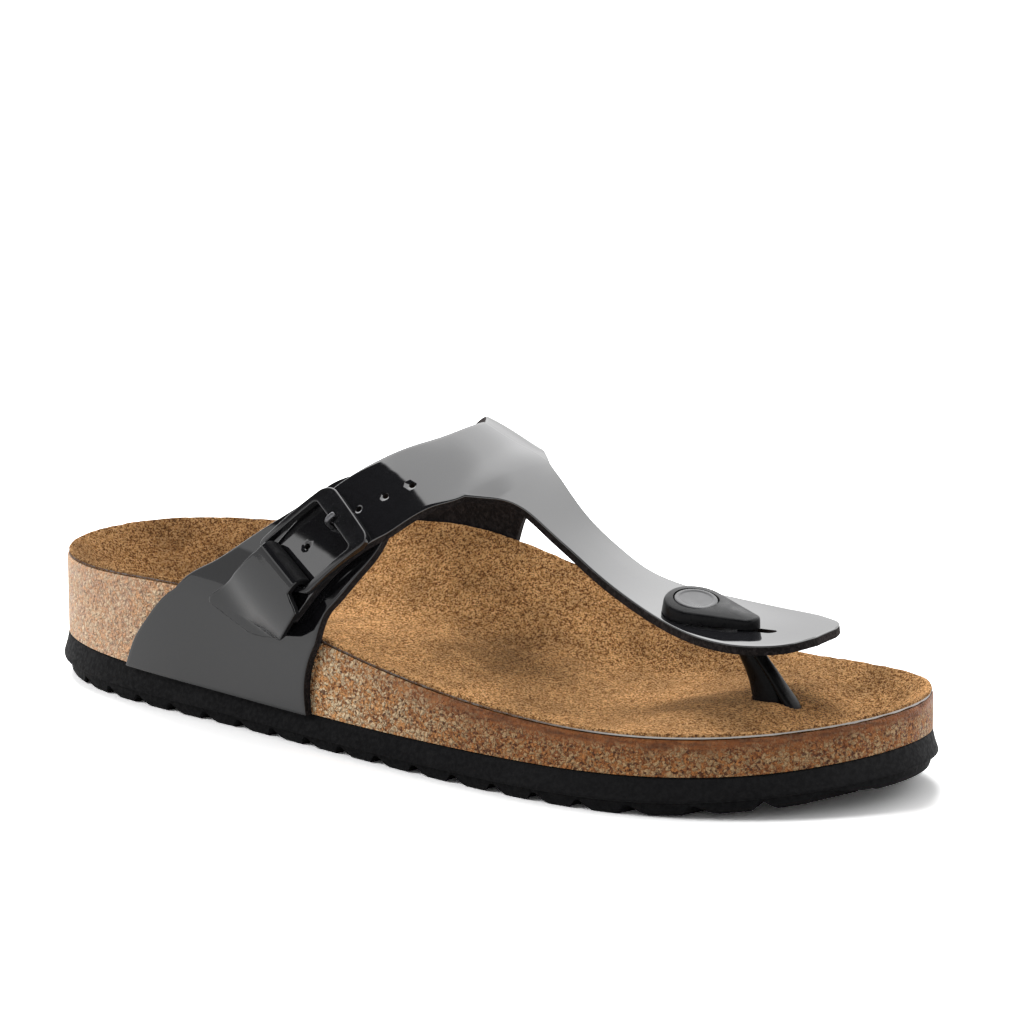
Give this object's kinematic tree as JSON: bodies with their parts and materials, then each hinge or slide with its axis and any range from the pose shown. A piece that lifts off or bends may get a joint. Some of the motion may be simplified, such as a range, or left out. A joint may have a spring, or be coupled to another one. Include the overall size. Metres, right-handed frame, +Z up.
{
  "type": "toe post sandal",
  "caption": "Toe post sandal for a right foot: glossy black T-strap with a side buckle and a post between the toes, over a dished cork footbed with a suede insole and a grooved black outsole.",
  "frame": {"origin": "on the floor, under the middle of the sandal's box", "axes": "+X from heel to toe, +Y towards the inner side of the foot, +Z up"},
  "size_m": [0.2658, 0.0992, 0.0804],
  "materials": {
    "outsole": "matt foam rubber with fine pores",
    "footbed": "pressed cork granules, sealed with a thin gloss",
    "insole": "suede with a coarse nap",
    "instep_strap": "patent, mirror gloss, felt back",
    "side_strap": "patent, mirror gloss, felt back",
    "buckle_strap": "patent, mirror gloss",
    "buckle_frame": "black, half gloss",
    "buckle_pin": "satin",
    "toe_post": "satin",
    "post_button": "satin, plain face"
  },
  "bodies": {
    "root": {"outsole": "outsole", "footbed": "footbed", "insole": "insole", "instep_strap": "instep_strap", "side_strap": "side_strap", "buckle_strap": "buckle_strap", "buckle_frame": "buckle_frame", "buckle_pin": "buckle_pin", "toe_post": "toe_post", "post_button": "post_button"}
  },
  "joints": []
}
